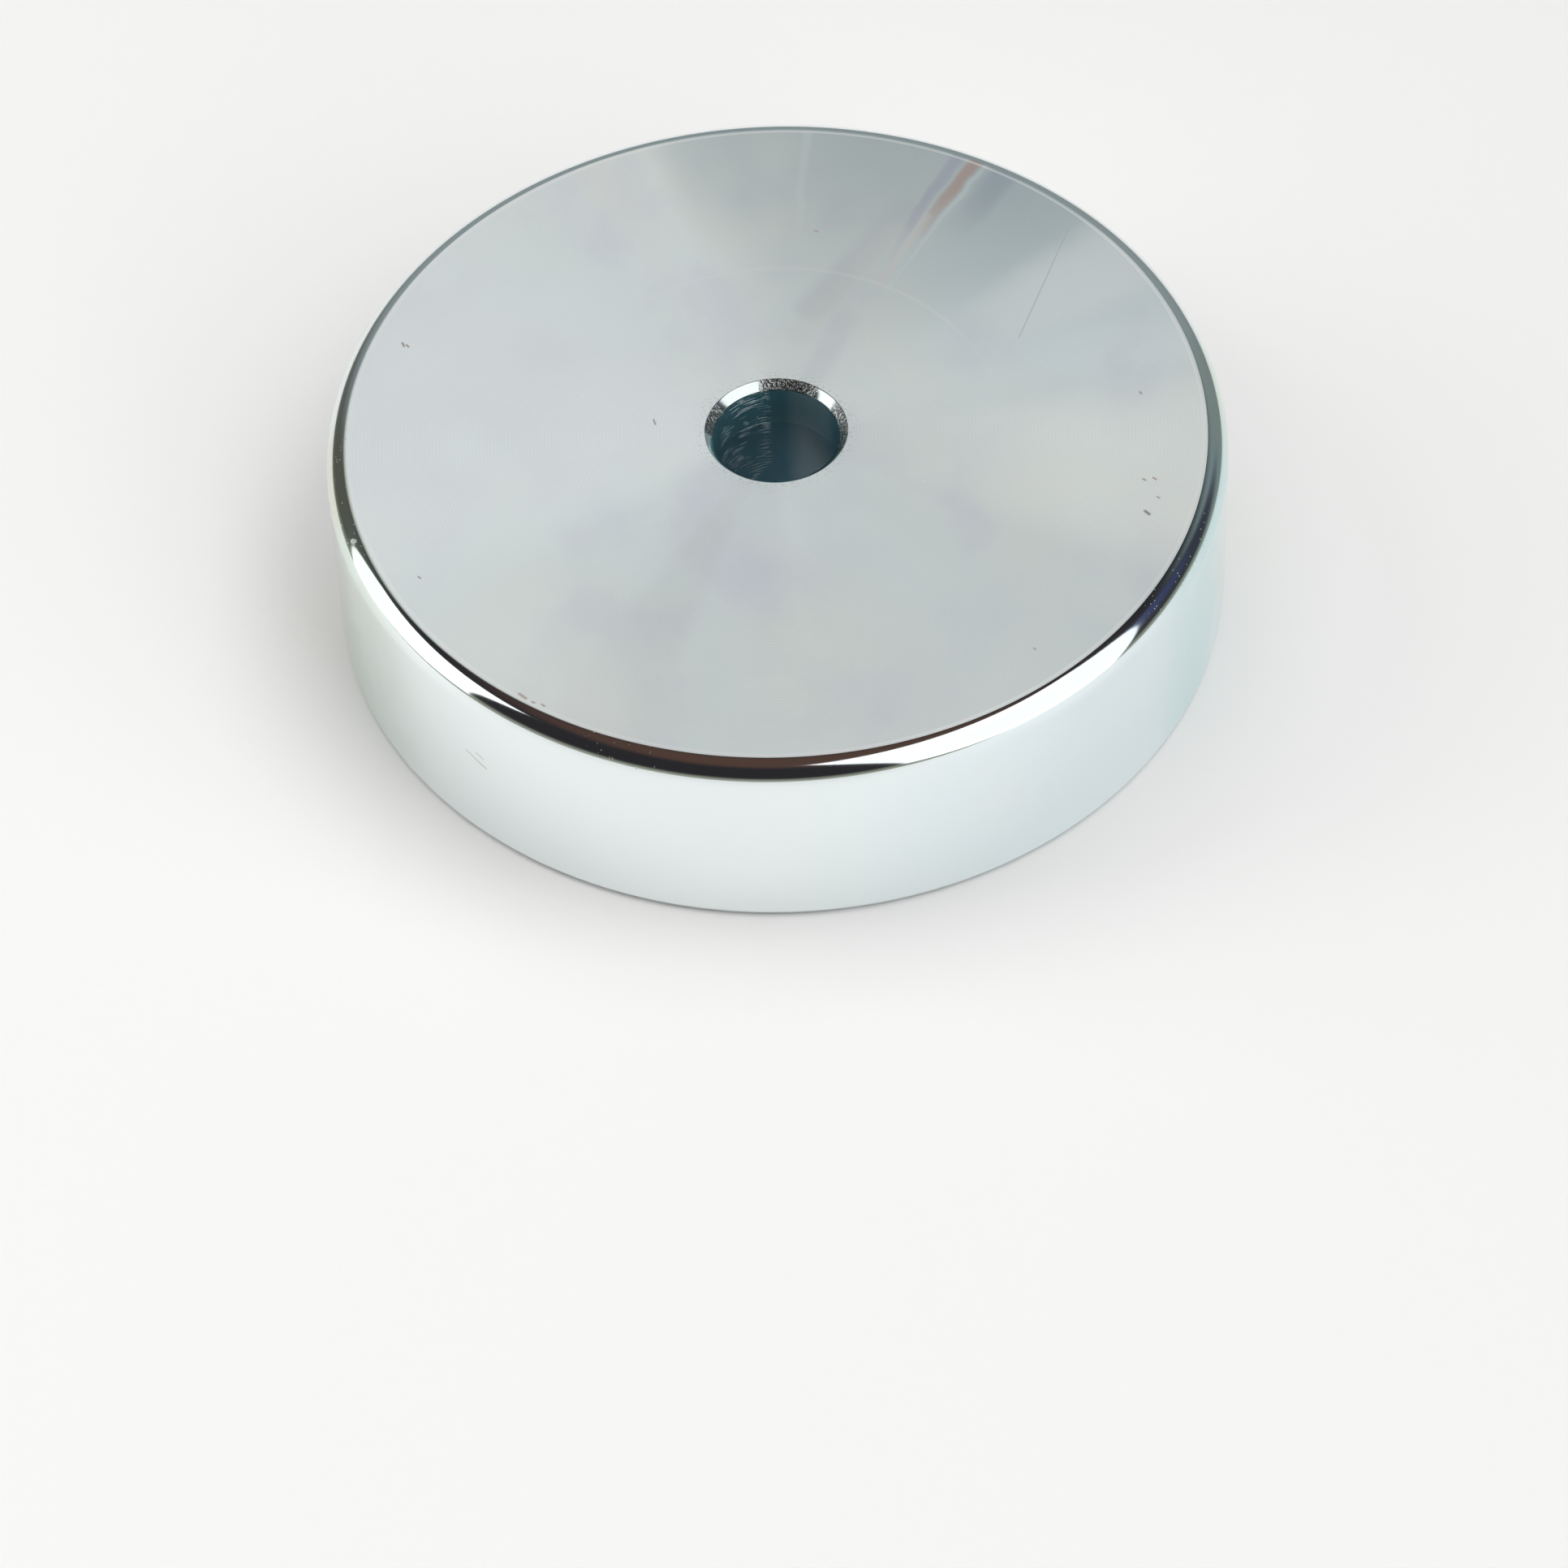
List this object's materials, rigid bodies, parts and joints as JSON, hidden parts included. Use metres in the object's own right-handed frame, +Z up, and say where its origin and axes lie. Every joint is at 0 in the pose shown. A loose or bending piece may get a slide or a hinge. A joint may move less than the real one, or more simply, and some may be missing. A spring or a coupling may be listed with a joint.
{
  "type": "pot magnet",
  "caption": "Flat round pot magnet: a steel cup with a rounded back edge holds a ring magnet set in resin, with a countersunk screw hole through the middle.",
  "frame": {"origin": "centre of the holding side, in the plane of the rim that the part rests on", "axes": "+Z up the axis of the screw hole to the closed steel back; turned round about Z"},
  "size_m": [0.075, 0.075, 0.018],
  "materials": {
    "zinc_plated_steel": "satin turned, blue-passivated zinc",
    "nickel_plated_magnet": "bright nickel plating",
    "potting_resin": "cast, glossy"
  },
  "bodies": {
    "root": {"steel_pot": "zinc_plated_steel", "ring_magnet": "nickel_plated_magnet", "resin_ring": "potting_resin"}
  },
  "joints": []
}
